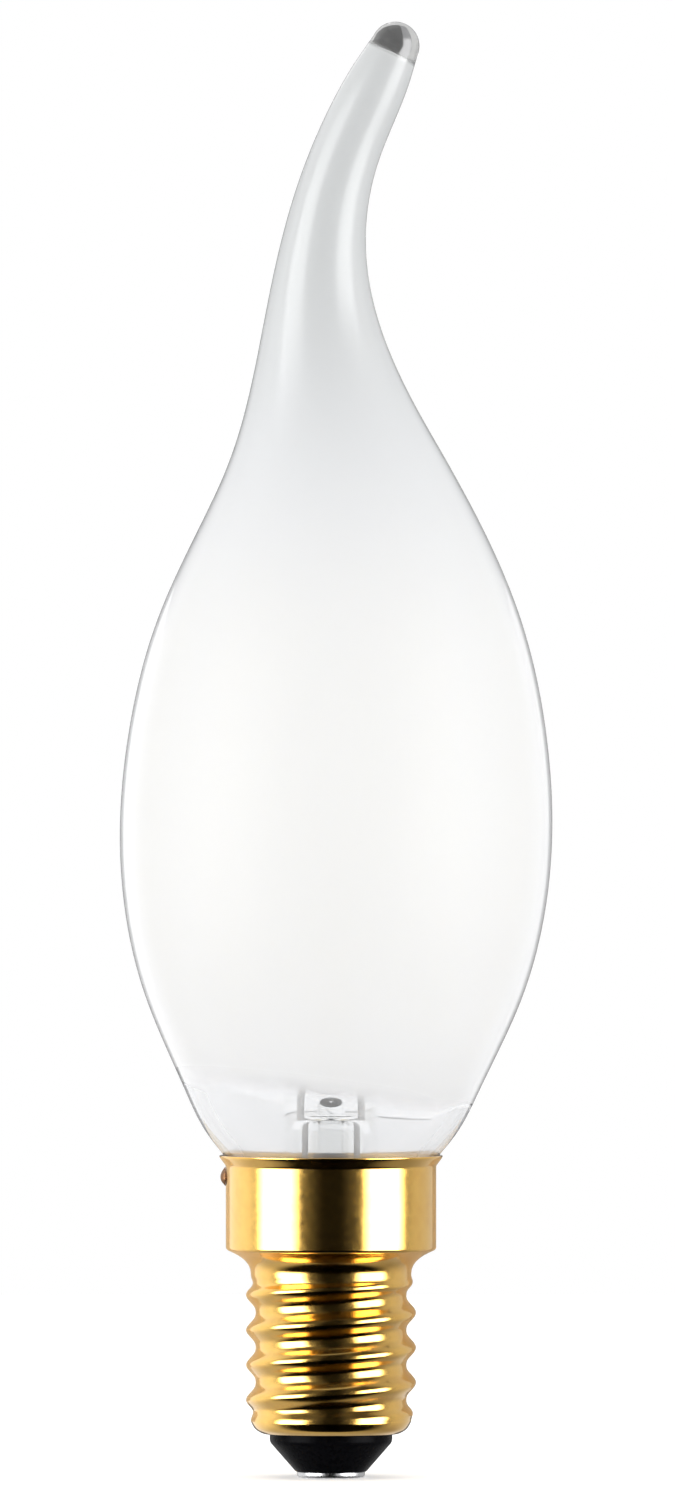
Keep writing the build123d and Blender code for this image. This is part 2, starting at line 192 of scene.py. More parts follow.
# Angles from straight behind: a dark ring in what gloss mirrors, and the white that clear glass shows
FLAG_ANGLES, FLAG_EDGE, FLAG_GLOW = (2.5, 22.0), 1.5, 0.12
THROUGH_ANGLES, THROUGH_GLOW = (8.0, 28.0), 0.89

# Light that falls on everything, floor and two lamps
AMBIENT = 1.0
FLOOR_RADIUS, FLOOR_CORNERS, FLOOR_SINK = 400.0, 96, 0.02
FLOOR_GLOW, FLOOR_COLOUR = 0.3, (0.95, 0.95, 0.95, 1)
LAMP_DISTANCE, LAMP_SIDE, LAMP_LEVEL, LAMP_SIZE = 700.0, 88.0, 100.0, 600.0
LAMP_GLOW = 0.9, 0.7

# Cards behind the bulb: sides and levels, distance behind its axis, and colours
CARD_GRAIN, CARD_ROUGHNESS, CARD_RELIEF = 8.0, 0.8, 0.01
DROP_LEVELS, DROP_BEHIND = (92.0, 128.0), 25.0
DARK_SIDES, DARK_GREYS = (0.0, 40.0), ((0.07, 0.07, 0.07), (0.24, 0.24, 0.24))
PALE_SIDES, PALE_GREYS = (-9.0, 0.0), ((0.35, 0.35, 0.36), (0.55, 0.55, 0.56))
TAIL_FLAGS = (-55.0, -11.0), (17.0, 61.0)
TAIL_LEVELS, TAIL_BEHIND, TAIL_BLACK = (78.0, 121.0), 30.0, (0.02, 0.02, 0.02)
CAP_CARDS = (-17.0, -6.5), (6.5, 17.0)
CAP_LEVELS, CAP_BEHIND = (3.5, 25.3), 12.0
CAP_GOLDS = (0.78, 0.68, 0.5), (0.56, 0.47, 0.33)


def smooth_curve(knots, values, start=None, end=None):
    """Cubic through the values with even curvature. start and end fix the slopes there."""
    knots, values = np.array(knots, float), np.array(values, float)
    gap, climb = np.diff(knots), np.diff(values)
    count = len(knots)
    matrix, side = np.zeros((count, count)), np.zeros(count)
    for i in range(1, count - 1):
        matrix[i, i - 1:i + 2] = 1 / gap[i - 1], 2 / gap[i - 1] + 2 / gap[i], 1 / gap[i]
        side[i] = 3 * (climb[i - 1] / gap[i - 1] ** 2 + climb[i] / gap[i] ** 2)
    ends = (0, 1, start, gap[0], climb[0]), (-1, -2, end, gap[-1], climb[-1])
    for row, near, slope, width, step in ends:
        matrix[row, row] = 2 if slope is None else 1
        matrix[row, near] = 1 if slope is None else 0
        side[row] = 3 * step / width if slope is None else slope
    slopes = np.linalg.solve(matrix, side)

    def value(at):
        at = np.clip(at, knots[0], knots[-1])
        i = np.clip(np.searchsorted(knots, at) - 1, 0, count - 2)
        t = (at - knots[i]) / gap[i]
        cubic = values[i] * (1 + 2 * t) * (1 - t) ** 2 + values[i + 1] * t * t * (3 - 2 * t)
        return cubic + gap[i] * t * (1 - t) * (slopes[i] * (1 - t) - slopes[i + 1] * t)

    return value


def rounded(corners):
    """Outline through (radius, height, fillet) corners, eased over the fillet or a length to each side."""
    points = []
    for i, (radius, height, fillet) in enumerate(corners):
        corner = Vector((radius, height))
        if fillet == 0 or i in (0, len(corners) - 1):
            points.append(corner)
            continue
        lead, follow = fillet if isinstance(fillet, tuple) else (fillet, fillet)
        before = (Vector(corners[i - 1][:2]) - corner).normalized() * lead
        after = (Vector(corners[i + 1][:2]) - corner).normalized() * follow
        for step in range(FILLET_STEPS + 1):
            t = step / FILLET_STEPS
            points.append(corner + before * (1 - t) ** 2 + after * t ** 2)
    return points


def spread(points, longest):
    """The outline with extra points, so that no step is over the longest."""
    dense = [points[0]]
    for a, b in zip(points, points[1:]):
        parts = max(1, int((b - a).length / longest + ROUND_UP))
        dense += [a.lerp(b, part / parts) for part in range(1, parts + 1)]
    return dense


def turns(count):
    """Even angles once round."""
    return [2 * pi * k / count for k in range(count)]


def level_ring(radius, height):
    """Level circle of points round the cap axis."""
    return [Vector((radius * cos(turn), radius * sin(turn), height)) for turn in turns(AROUND)]


def flat_ring(half_width, half_depth, height, squareness):
    """Level ring between an ellipse, at squareness 2, and a rectangle."""
    ring = []
    for turn in turns(AROUND):
        x, y = cos(turn), sin(turn)
        across = half_width * abs(x) ** (2 / squareness)
        deep = half_depth * abs(y) ** (2 / squareness)
        ring.append(Vector((across if x > 0 else -across, deep if y > 0 else -deep, height)))
    return ring


def skin(name, rings, loop=False, materials=(), slot_of=None, rise_of=None):
    """Closed mesh over rings of points; one point is a pole, a loop joins last to first."""
    mesh = bpy.data.meshes.new(name)
    form = bmesh.new()
    layer = form.verts.layers.float.new("rise") if rise_of else None
    rows = []
    for i, ring in enumerate(rings):
        row = [form.verts.new(point * MM) for point in ring]
        if layer:
            for vert in row:
                vert[layer] = rise_of[i]
        rows.append(row)
    pairs = list(zip(range(len(rows)), range(1, len(rows)))) + ([(len(rows) - 1, 0)] if loop else [])
    for low, high in pairs:
        a, b = rows[low], rows[high]
        for k in range(max(len(a), len(b))):
            n = (k + 1) % max(len(a), len(b))
            if len(a) == 1:
                corners = (a[0], b[n], b[k])
            elif len(b) == 1:
                corners = (a[k], a[n], b[0])
            else:
                corners = (a[k], a[n], b[n], b[k])
            face = form.faces.new(corners)
            face.smooth = True
            face.material_index = slot_of[low] if slot_of else 0
    bmesh.ops.recalc_face_normals(form, faces=form.faces)
    form.to_mesh(mesh)
    form.free()
    piece = bpy.data.objects.new(name, mesh)
    bpy.context.scene.collection.objects.link(piece)
    for material in materials:
        mesh.materials.append(material)
    return piece


def turned(name, outline, material, loop=False):
    """Piece turned about the cap axis from an outline of (radius, height) points."""
    outline = spread(outline + ([outline[0]] if loop else []), LONG_STEP)
    outline = outline[:-1] if loop else outline
    rings = [level_ring(p.x, p.y) if p.x > NEXT_TO_NOTHING else [Vector((0, 0, p.y))] for p in outline]
    return skin(name, rings, loop=loop, materials=[material])


def dress(piece, node):
    """The piece stands for a CAD node, which it hides, and joins the root body."""
    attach(piece, "root")
    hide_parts(node)


# Shader helpers


def new_material(name):
    """Material with one Principled shader; returns it with its tree and shader."""
    material = bpy.data.materials.new(name)
    material.use_nodes = True
    tree = material.node_tree
    return material, tree, tree.nodes["Principled BSDF"]


def add(tree, kind, inputs=None, **settings):
    """Node of a kind, with its settings and plain inputs."""
    node = tree.nodes.new("ShaderNode" + kind)
    for key, value in settings.items():
        setattr(node, key, value)
    for key, value in (inputs or {}).items():
        node.inputs[key].default_value = value
    return node


def show(tree, shader_output):
    """The shader that the surface shows."""
    tree.links.new(shader_output, tree.nodes["Material Output"].inputs["Surface"])


def blend(tree, factor, first, second):
    """Shader between two, by a factor."""
    node = add(tree, "MixShader")
    for socket, value in zip(node.inputs, (factor, first, second)):
        tree.links.new(value, socket)
    return node.outputs["Shader"]


def noise(tree, size, detail=2.0, roughness=0.5):
    """Noise over the object, with features of a size."""
    place = add(tree, "TexCoord")
    texture = add(tree, "TexNoise", {"Scale": 1 / (size * MM), "Detail": detail, "Roughness": roughness})
    tree.links.new(place.outputs["Object"], texture.inputs["Vector"])
    return texture.outputs["Fac"]


def ranged(tree, value, low, high, to_low=0.0, to_high=1.0, smooth=False):
    """Value carried from one range to another."""
    node = add(tree, "MapRange", interpolation_type="SMOOTHSTEP" if smooth else "LINEAR")
    for key, number in (("From Min", low), ("From Max", high), ("To Min", to_low), ("To Max", to_high)):
        node.inputs[key].default_value = number
    tree.links.new(value, node.inputs["Value"])
    return node.outputs["Result"]


def rest_of(tree, share):
    """What a share leaves of one."""
    return ranged(tree, share, 0, 1, 1.0, 0.0)


def calc(tree, operation, first, second):
    """Two values, or a value and a number, combined."""
    node = add(tree, "Math", operation=operation)
    for socket, value in zip(node.inputs, (first, second)):
        if isinstance(value, (int, float)):
            socket.default_value = value
        else:
            tree.links.new(value, socket)
    return node.outputs["Value"]


def seen_ray(tree):
    """One for the rays that show a surface to the eye, in metal or through glass."""
    path = add(tree, "LightPath")
    seen = calc(tree, "MAXIMUM", path.outputs["Is Camera Ray"], path.outputs["Is Glossy Ray"])
    return calc(tree, "MAXIMUM", seen, path.outputs["Is Transmission Ray"])


def refracted_ray(tree):
    """One for the rays that look through clear glass."""
    path = add(tree, "LightPath")
    return calc(tree, "MULTIPLY", path.outputs["Is Glossy Ray"], path.outputs["Is Transmission Ray"])


def tint(tree, factor, first, second):
    """Colour between two, by a factor."""
    node = add(tree, "Mix", data_type="RGBA")
    node.inputs["A"].default_value = (*first, 1)
    node.inputs["B"].default_value = (*second, 1)
    tree.links.new(factor, node.inputs["Factor"])
    return node.outputs["Result"]


def shaded(tree, colour, share, grey):
    """The colour, with a share of it turned to a grey."""
    node = add(tree, "Mix", {"B": (*grey, 1)}, data_type="RGBA")
    tree.links.new(share, node.inputs["Factor"])
    tree.links.new(colour, node.inputs["A"])
    return node.outputs["Result"]


def bump(tree, shader, height, depth):
    """Relief of a depth on the shader."""
    node = add(tree, "Bump", {"Strength": 1.0, "Distance": depth * MM})
    tree.links.new(height, node.inputs["Height"])
    tree.links.new(node.outputs["Normal"], shader.inputs["Normal"])


def set_shader(shader, **values):
    """Plain values on the shader's own sockets; a name's underscores stand for spaces."""
    for key, value in values.items():
        shader.inputs[key.replace("_", " ")].default_value = value


# Materials


def frost_edge(tree, rise):
    """Share of frost above the leaning line on the neck, and a thin dark line of painted shade along its
    edge, faint towards the left.
    """
    place = add(tree, "SeparateXYZ")
    tree.links.new(add(tree, "TexCoord").outputs["Object"], place.inputs["Vector"])
    wave = ranged(tree, noise(tree, WAVE_SIZE, detail=3.0), 0.0, 1.0, -FROST_WAVE, FROST_WAVE)
    level = calc(tree, "ADD", rise, wave)
    for axis, lean in zip("XY", FROST_LEAN):
        level = calc(tree, "ADD", level, calc(tree, "MULTIPLY", place.outputs[axis], lean / MM))
    sideways = calc(tree, "DIVIDE", place.outputs["X"], MM)
    run_up = ranged(tree, sideways, *RUN_UP_SIDES, 0.0, RUN_UP_HEIGHT)
    level = calc(tree, "SUBTRACT", level, run_up)
    across = calc(tree, "DIVIDE", calc(tree, "ADD", place.outputs["X"], place.outputs["Y"]), MM)
    soft = ranged(tree, across, *FROST_ACROSS, *FROST_SOFT)
    height = calc(tree, "DIVIDE", calc(tree, "SUBTRACT", level, FROST_LINE), soft)
    frost = ranged(tree, height, -1.0, 1.0, NECK_HAZE, 1.0, smooth=True)
    rising = ranged(tree, frost, NECK_HAZE, 1)
    falling = ranged(tree, frost, NECK_HAZE, 1, HALFWAY_PEAK, 0.0)
    middle = calc(tree, "MULTIPLY", rising, falling)
    return frost, calc(tree, "MULTIPLY", middle, ranged(tree, across, *EDGE_SHADE_SIDES, EDGE_SHADE_FAINT, 1.0))


def frosted_glass():
    """White frost under a glossy outside, fading to clear glass at the neck and the drop."""
    material, tree, shader = new_material("frosted_glass")
    rise = add(tree, "Attribute", attribute_name="rise").outputs["Fac"]
    body, edge_shade_line = frost_edge(tree, rise)
    tip_ends = FROST_TIP - FROST_TIP_SOFT, FROST_TIP + FROST_TIP_SOFT
    tip = ranged(tree, rise, *tip_ends, 1.0, 0.0, smooth=True)
    frost = calc(tree, "MULTIPLY", body, tip)
    drawn = ranged(tree, rise, *TAIL_RISE, smooth=True)
    colour = tint(tree, noise(tree, CLOUD_SIZE, detail=4.0), *FROST_WHITES)
    # Painted shade on the frost: grey on the tail, a thin dark line along the frost edge, and grey on the
    # clear drop
    for share, grey in ((drawn, TAIL_PAINTED_SHADE), (edge_shade_line, EDGE_SHADE_GREY), (rest_of(tree, tip), DROP_PAINTED_SHADE)):
        colour = shaded(tree, colour, share, grey)
    tree.links.new(colour, shader.inputs["Base Color"])
    tree.links.new(ranged(tree, frost, 0, 1, 1.0, FROST_CLEAR), shader.inputs["Transmission Weight"])
    tree.links.new(ranged(tree, frost, FULL_FROST, 1, 0.0, FROST_ROUGHNESS), shader.inputs["Roughness"])
    facing = add(tree, "LayerWeight", {"Blend": 0.5}).outputs["Facing"]
    grazing = ranged(tree, facing, *GRAZING)
    gloss = calc(tree, "MAXIMUM", ranged(tree, drawn, 0, 1, BODY_COAT, TAIL_COAT), grazing)
    tree.links.new(calc(tree, "MULTIPLY", frost, gloss), shader.inputs["Coat Weight"])
    set_shader(shader, IOR=GLASS_IOR, Coat_Roughness=COAT_ROUGHNESS, Coat_IOR=GLASS_IOR)
    through = add(tree, "BsdfTranslucent")
    tree.links.new(colour, through.inputs["Color"])
    glow = calc(tree, "MULTIPLY", frost, ranged(tree, drawn, 0, 1, BODY_GLOW, TAIL_GLOW))
    glow = calc(tree, "MULTIPLY", glow, rest_of(tree, grazing))
    show(tree, blend(tree, glow, shader.outputs["BSDF"], through.outputs["BSDF"]))
    return material


def inner_wall():
    """Inside face of the glass: clear, and only seen where the glass is clear."""
    material, tree, shader = new_material("glass_inside")
    set_shader(shader, Base_Color=(1, 1, 1, 1), Transmission_Weight=1.0, Roughness=0.0, IOR=GLASS_IOR)
    rise = add(tree, "Attribute", attribute_name="rise").outputs["Fac"]
    body = ranged(tree, frost_edge(tree, rise)[0], *INNER_FADE)
    tip = ranged(tree, rise, FROST_TIP - INNER_TIP_SOFT, FROST_TIP, 1.0, 0.0, smooth=True)
    unseen = add(tree, "BsdfTransparent").outputs["BSDF"]
    show(tree, blend(tree, calc(tree, "MULTIPLY", body, tip), shader.outputs["BSDF"], unseen))
    return material


def clear_glass():
    """Stem, tube and rod: clear glass, a little uneven."""
    material, tree, shader = new_material("clear_glass")
    set_shader(shader, Base_Color=CLEAR_COLOUR, Transmission_Weight=1.0, IOR=STEM_IOR)
    haze = ranged(tree, noise(tree, CLEAR_GRAIN), *NOISE_MIDDLE, *CLEAR_ROUGHNESS)
    tree.links.new(haze, shader.inputs["Roughness"])
    bump(tree, shader, noise(tree, CLEAR_WAVE), CLEAR_RELIEF)
    return material


def vent_glass():
    """Walls of the vent: dark and cloudy, a painted shade inside the hole."""
    material, tree, shader = new_material("vent_glass")
    set_shader(shader, Base_Color=VENT_SHADE_COLOUR, Transmission_Weight=VENT_CLEAR, IOR=VENT_IOR)
    cloud = ranged(tree, noise(tree, VENT_GRAIN), *NOISE_MIDDLE, *VENT_ROUGHNESS)
    tree.links.new(cloud, shader.inputs["Roughness"])
    return material


def gold_brass():
    """Polished gold-coloured cap: soft waves, a fine grain, scuffs and a little tarnish."""
    material, tree, shader = new_material("gold_brass")
    set_shader(shader, Metallic=1.0, Coat_Weight=GOLD_COAT, Coat_Roughness=GOLD_COAT_ROUGHNESS)
    tarnish = ranged(tree, noise(tree, TARNISH_SIZE, detail=6.0, roughness=0.65), *TARNISH_MIDDLE)
    tree.links.new(tint(tree, tarnish, GOLD, GOLD_TARNISHED), shader.inputs["Base Color"])
    scuffs = noise(tree, SCUFF_SIZE, detail=5.0, roughness=0.7)
    tree.links.new(ranged(tree, scuffs, *SCUFF_MIDDLE, *GOLD_ROUGHNESS), shader.inputs["Roughness"])
    fine = calc(tree, "MULTIPLY", noise(tree, GOLD_GRAIN, detail=3.0), GOLD_GRAIN_SHARE)
    bump(tree, shader, calc(tree, "ADD", noise(tree, GOLD_WAVE), fine), GOLD_RELIEF)
    return material


def black_vitrite():
    """Black glassy insulator with a satin, slightly pitted face."""
    material, tree, shader = new_material("black_vitrite")
    speck = noise(tree, SPECK_SIZE, detail=4.0, roughness=0.6)
    tree.links.new(tint(tree, speck, VITRITE, VITRITE_SPECK), shader.inputs["Base Color"])
    tree.links.new(ranged(tree, speck, *NOISE_MIDDLE, *VITRITE_ROUGHNESS), shader.inputs["Roughness"])
    set_shader(shader, Specular_IOR_Level=VITRITE_GLOSS)
    bump(tree, shader, speck, VITRITE_RELIEF)
    return material


def grained(name, light, dark, roughness, grain, relief, vary, detail, metallic=0.0):
    """Two close colours in a grain, which also varies the gloss by a share and makes a relief."""
    material, tree, shader = new_material(name)
    set_shader(shader, Metallic=metallic)
    cloud = noise(tree, grain, detail, roughness=0.6)
    tree.links.new(tint(tree, cloud, light, dark), shader.inputs["Base Color"])
    gloss = ranged(tree, cloud, *NOISE_MIDDLE, roughness * (1 - vary), roughness * (1 + vary))
    tree.links.new(gloss, shader.inputs["Roughness"])
    bump(tree, shader, cloud, relief)
    return material


def plain_metal(name, light, dark, roughness, grain, metallic=1.0):
    """Drawn or tinned metal, or one dulled by the heat of sealing and made pale as painted light."""
    return grained(
        name, light, dark, roughness, grain, relief=0.01, vary=0.25, detail=5.0, metallic=metallic)


def matte(name, light, dark, roughness, grain, relief):
    """Moulded or cast piece."""
    return grained(name, light, dark, roughness, grain, relief, vary=0.15, detail=4.0)


FINISH = {
    "frosted_glass": frosted_glass(),
    "clear_glass": clear_glass(),
    "gold_brass": gold_brass(),
    "black_vitrite": black_vitrite(),
    "weld_bronze": plain_metal(
        "weld_bronze", (0.3, 0.16, 0.08), (0.14, 0.07, 0.035), roughness=0.42, grain=0.4),
    "tinned_metal": plain_metal(
        "tinned_metal", (0.62, 0.62, 0.63), (0.42, 0.42, 0.43), roughness=0.3, grain=0.5),
    # Lead wires: near white and barely metallic, painted light for the light that the glass keeps from them
    "nickel": plain_metal(
        "nickel", (0.94, 0.93, 0.91), (0.88, 0.87, 0.85), roughness=0.7, grain=0.6, metallic=0.1),
    "can_aluminium": plain_metal(
        "can_aluminium", (0.72, 0.72, 0.74), (0.64, 0.64, 0.66), roughness=0.35, grain=0.8),
    "copper_wire": plain_metal(
        "copper_wire", (0.72, 0.42, 0.26), (0.6, 0.32, 0.18), roughness=0.3, grain=0.3),
    "phosphor": matte(
        "phosphor", (0.95, 0.86, 0.56), (0.92, 0.8, 0.46), roughness=0.6, grain=0.3, relief=0.02),
    "cement": matte(
        "cement", (0.78, 0.74, 0.66), (0.66, 0.61, 0.52), roughness=0.9, grain=0.4, relief=0.04),
    "board_green": matte(
        "board_green", (0.08, 0.28, 0.14), (0.06, 0.22, 0.1), roughness=0.4, grain=0.7, relief=0.01),
    "chip_black": matte(
        "chip_black", (0.03, 0.03, 0.033), (0.02, 0.02, 0.022), roughness=0.55, grain=0.2, relief=0.01),
}
for part in frame["record"]["subparts"]:
    mesh = frame["nodes"][part["node"]].data
    mesh.materials.clear()
    mesh.materials.append(FINISH[part["material_slot"]])

# Glass envelope: curves of its axis and its radius
axis_offset = smooth_curve(*zip(*GLASS_AXIS), start=0.0, end=TIP_SLOPE)
axis_heights = np.linspace(NECK_END - RIM_TOP, GLASS_AXIS[-1][0], AXIS_STEPS)
axis_steps = np.hypot(np.diff(axis_heights), np.diff(axis_offset(axis_heights)))
axis_runs = axis_heights[0] + np.concatenate([[0.0], np.cumsum(axis_steps)])
axis_end = axis_runs[-1]
glass_radius = smooth_curve(*zip(*GLASS_OUTLINE, (axis_end, DROP_RADIUS)))


def glass_ring(rise, radius, ahead):
    """Circle square to the glass axis at a rise above the rim, moved ahead along the axis."""
    height = float(np.interp(rise, axis_runs, axis_heights))
    slope = (axis_offset(height + SLOPE_STEP) - axis_offset(height - SLOPE_STEP)) / (2 * SLOPE_STEP)
    if height > axis_heights[-1] - SLOPE_STEP:
        slope = TIP_SLOPE
    along = Vector((slope, 0, 1)).normalized()
    across = Vector((along.z, 0, -along.x))
    centre = Vector((float(axis_offset(height)), 0, RIM_TOP + height)) + along * ahead
    if radius < NEXT_TO_NOTHING:
        return [centre]
    return [centre + (across * cos(a) + Vector((0, 1, 0)) * sin(a)) * float(radius) for a in turns(AROUND)]


def glass_bulb():
    """Glass from the end of its cavity down to the neck, then up the outside to the tip of the drop."""
    neck = NECK_END - RIM_TOP
    drop = DROP_RADIUS - FACET_ROOM
    skin_rises = np.linspace(neck, axis_end, OUTER_STEPS)
    outer = [(rise, glass_radius(rise) - FACET_ROOM, 0.0) for rise in skin_rises]
    for angle in np.linspace(0, pi / 2, DROP_STEPS)[1:]:
        outer.append((axis_end, drop * cos(angle) if angle < pi / 2 else 0.0, drop * sin(angle)))
    wall_rises = np.linspace(neck, CAVITY_END - CAVITY_SHOULDER, INNER_STEPS)
    inner = [(rise, glass_radius(rise) - GLASS_WALL, 0.0) for rise in wall_rises]
    inner += [(CAVITY_END - short, CAVITY_RADIUS * share, 0.0) for short, share in CAVITY_TAPER]
    sections = inner[::-1] + outer
    return skin(
        "glass_bulb",
        [glass_ring(*section) for section in sections],
        materials=[FINISH["frosted_glass"], inner_wall()],
        slot_of=[INSIDE] * (len(inner) - 1) + [OUTSIDE] * (len(outer) + 1),
        rise_of=[rise + ahead for rise, radius, ahead in sections],
    )


# Cap: levels and radii that follow from its sizes
collar_base = RIM_TOP - COLLAR_HEIGHT
shoulder_base = collar_base - SHOULDER_DROP
thread_top = shoulder_base - THREAD_CLEAR
thread_base = SHELL_BASE + LIP_EDGE
thread_mean = (THREAD_RADIUS + THREAD_ROOT) / 2
thread_wave = (THREAD_RADIUS - THREAD_ROOT) / 2
rim_radius = COLLAR_RADIUS + RIM_FLARE
bore_radius = THREAD_ROOT - SHEET
insulator_seat = SHELL_BASE + SHEET


def thread_ring(height):
    """Ring through the thread: narrow crests and broad roots that climb to the right and fade at the ends."""
    fade = min((height - thread_base) / THREAD_FADE, (thread_top - height) / THREAD_FADE, 1.0)
    wave = thread_wave * (1 - cos(pi * fade)) / 2
    crest_turn = pi + 2 * pi * (height - THREAD_CREST) / THREAD_PITCH
    ring = []
    for turn in turns(AROUND):
        crest = 2 * ((1 + cos(turn - crest_turn)) / 2) ** CREST_SHARPNESS - 1
        radius = thread_mean + wave * crest
        ring.append(Vector((radius * cos(turn), radius * sin(turn), height)))
    return ring


def cap_shell():
    """Rim, collar and shoulder, rolled thread, bottom lip, then the inside back to the rim."""
    upper = rounded([
        (rim_radius - RIM_LAND, RIM_TOP, 0.0),
        (rim_radius - RIM_TRIM, RIM_TOP, RIM_FILLET),
        (COLLAR_RADIUS, RIM_TOP - FLARE_HEIGHT, FLARE_FILLET),
        (COLLAR_RADIUS, collar_base, COLLAR_FILLET),
        (thread_mean, shoulder_base, SHOULDER_FILLET),
        (thread_mean, thread_top, 0.0),
    ])
    lower = rounded([
        (thread_mean, thread_base, 0.0),
        (thread_mean - LIP_SLANT, SHELL_BASE + LIP_SLANT, LIP_FILLETS[0]),
        (thread_mean - LIP_EDGE, SHELL_BASE, LIP_FILLETS[1]),
        (INSULATOR_RADIUS + SLIP, SHELL_BASE, LIP_FILLETS[2]),
        (INSULATOR_RADIUS + SLIP, insulator_seat, 0.0),
        (bore_radius - INSULATOR_EDGE, insulator_seat, 0.0),
        (bore_radius, insulator_seat + INSULATOR_EDGE, 0.0),
        (bore_radius, shoulder_base - BORE_CLEAR, 0.0),
        (COLLAR_RADIUS - SHEET, collar_base + SHEET, 0.0),
        (COLLAR_RADIUS - SHEET, RIM_TOP - FLARE_HEIGHT, 0.0),
        (rim_radius - RIM_LAND, RIM_TOP, 0.0),
    ])
    rings = [level_ring(p.x, p.y) for p in spread(upper, RIM_STEP)]
    rings += [thread_ring(height) for height in np.linspace(thread_top, thread_base, THREAD_STEPS)[1:-1]]
    rings += [level_ring(p.x, p.y) for p in spread(lower, LONG_STEP)[:-1]]
    return skin("cap_shell", rings, loop=True, materials=[FINISH["gold_brass"]])


def cap_insulator():
    """Black disc held by the bottom lip, with its cone below and a hole for the cup."""
    cup_hole = CUP_RADIUS + SLIP
    return turned("cap_insulator", rounded([
        (cup_hole, INSULATOR_TOP, 0.0),
        (cup_hole, INSULATOR_BASE, SMALL_FILLET),
        (INSULATOR_TIP, INSULATOR_BASE, TIP_FILLET),
        (INSULATOR_RADIUS, INSULATOR_BASE + INSULATOR_CONE, CONE_FILLET),
        (INSULATOR_RADIUS, insulator_seat, 0.0),
        (bore_radius - INSULATOR_EDGE - SLIP, insulator_seat, 0.0),
        (bore_radius - SLIP, insulator_seat + INSULATOR_EDGE, 0.0),
        (bore_radius - SLIP, INSULATOR_TOP, 0.0),
    ]), FINISH["black_vitrite"], loop=True)


def centre_contact():
    """Contact plate with its solder cup."""
    return turned("centre_contact", rounded([
        (0.0, 0.0, 0.0),
        (CONTACT_RADIUS, 0.0, CONTACT_FILLET),
        (CONTACT_RADIUS, INSULATOR_BASE, SMALL_FILLET),
        (CUP_RADIUS, INSULATOR_BASE, 0.0),
        (CUP_RADIUS, CUP_TOP, SMALL_FILLET),
        (CUP_BORE, CUP_TOP, SMALL_FILLET),
        (CUP_BORE, INSULATOR_BASE, 0.0),
        (0.0, INSULATOR_BASE, 0.0),
    ]), FINISH["tinned_metal"])


def weld_bead():
    """Uneven bead on the collar, in rings from its peak out to its ragged rim."""
    waves, start, size = WELD_SWELL
    rings = [[Vector((-COLLAR_RADIUS - WELD_PROUD, 0, WELD_LEVEL))]]
    for number in range(1, WELD_RINGS + 1):
        reach = number / WELD_RINGS
        ring = []
        for turn in turns(WELD_AROUND):
            rags = sum(rag * sin(count * turn + first) for count, first, rag in WELD_RAGS)
            ragged = 1 - reach * (WELD_SHRINK + rags)
            swell = WELD_PROUD * (1 - reach ** 2) * (1 + size * reach * sin(waves * turn + start))
            y = WELD_HALF[0] * reach * ragged * cos(turn)
            z = WELD_LEVEL + WELD_HALF[1] * reach * ragged * sin(turn)
            ring.append(Vector((-((COLLAR_RADIUS + SLIP) ** 2 - y * y) ** 0.5 - swell, y, z)))
        rings.append(ring)
    rings.append([Vector((-COLLAR_RADIUS - SLIP, 0, WELD_LEVEL))])
    return skin("weld_bead", rings, materials=[FINISH["weld_bronze"]])


def stem_body():
    """Turned flare and tube, closed by a shoulder that flattens into the press."""
    tube_inside = STEM_RADIUS - STEM_WALL
    line = rounded([
        (EXHAUST_BORE, VENT_LEVEL, 0.0),
        (EXHAUST_BORE, STEM_INSIDE, INSIDE_ROUNDS[0]),
        (tube_inside, STEM_INSIDE, INSIDE_ROUNDS[1]),
        (tube_inside, STEM_BASE + STEM_CONE + CONE_OVER, CONE_ROUND),
        (FLARE_INSIDE - FLARE_SLANT, STEM_BASE, FLARE_ROUNDS[0]),
        (FLARE_RADIUS, STEM_BASE, FLARE_ROUNDS[1]),
        (FLARE_RADIUS, NECK_END, 0.0),
        (FLARE_INSIDE, NECK_END, FLARE_ROUNDS[0]),
        (STEM_RADIUS, NECK_END + STEM_CONE, CONE_ROUND),
        (STEM_RADIUS, STEM_SHOULDER, 0.0),
    ])
    rings = [[Vector((0, 0, VENT_LEVEL))]] + [level_ring(p.x, p.y) for p in spread(line, STEM_STEP)]
    press_low = STEM_TOP - PRESS_HEIGHT
    for step in range(1, SHOULDER_STEPS + 1):
        ease = step / SHOULDER_STEPS
        height = STEM_SHOULDER + (press_low - STEM_SHOULDER) * sin(ease * pi / 2)
        halves = [STEM_RADIUS + (half - STEM_RADIUS) * (1 - cos(ease * pi / 2)) for half in PRESS_HALF]
        rings.append(flat_ring(*halves, height, ELLIPSE + (PRESS_SQUARENESS - ELLIPSE) * ease))
    for height in np.linspace(press_low, STEM_TOP - PRESS_EDGE[1], PRESS_STEPS)[1:]:
        rings.append(flat_ring(*PRESS_HALF, height, PRESS_SQUARENESS))
    top_halves = [half - PRESS_EDGE[0] for half in PRESS_HALF]
    rings += [flat_ring(*top_halves, STEM_TOP, PRESS_SQUARENESS), [Vector((0, 0, STEM_TOP))]]
    return skin("stem_glass", rings, materials=[FINISH["clear_glass"]])


def vent_cutter():
    """Flat funnel that runs in from the front of the stem."""
    front = -STEM_RADIUS - VENT_OVER
    rings = [[Vector((0, front, VENT_LEVEL))]]
    for y, share in ((front, 1), (-STEM_RADIUS, 1), (VENT_END, VENT_THROAT)):
        half_width, half_height = (half * share for half in VENT_HALF)
        ring = [(half_width * cos(turn), half_height * sin(turn)) for turn in turns(VENT_AROUND)]
        rings.append([Vector((x, y, VENT_LEVEL + z)) for x, z in ring])
    rings.append([Vector((0, VENT_END, VENT_LEVEL))])
    return skin("vent_cutter", rings, materials=[vent_glass()])


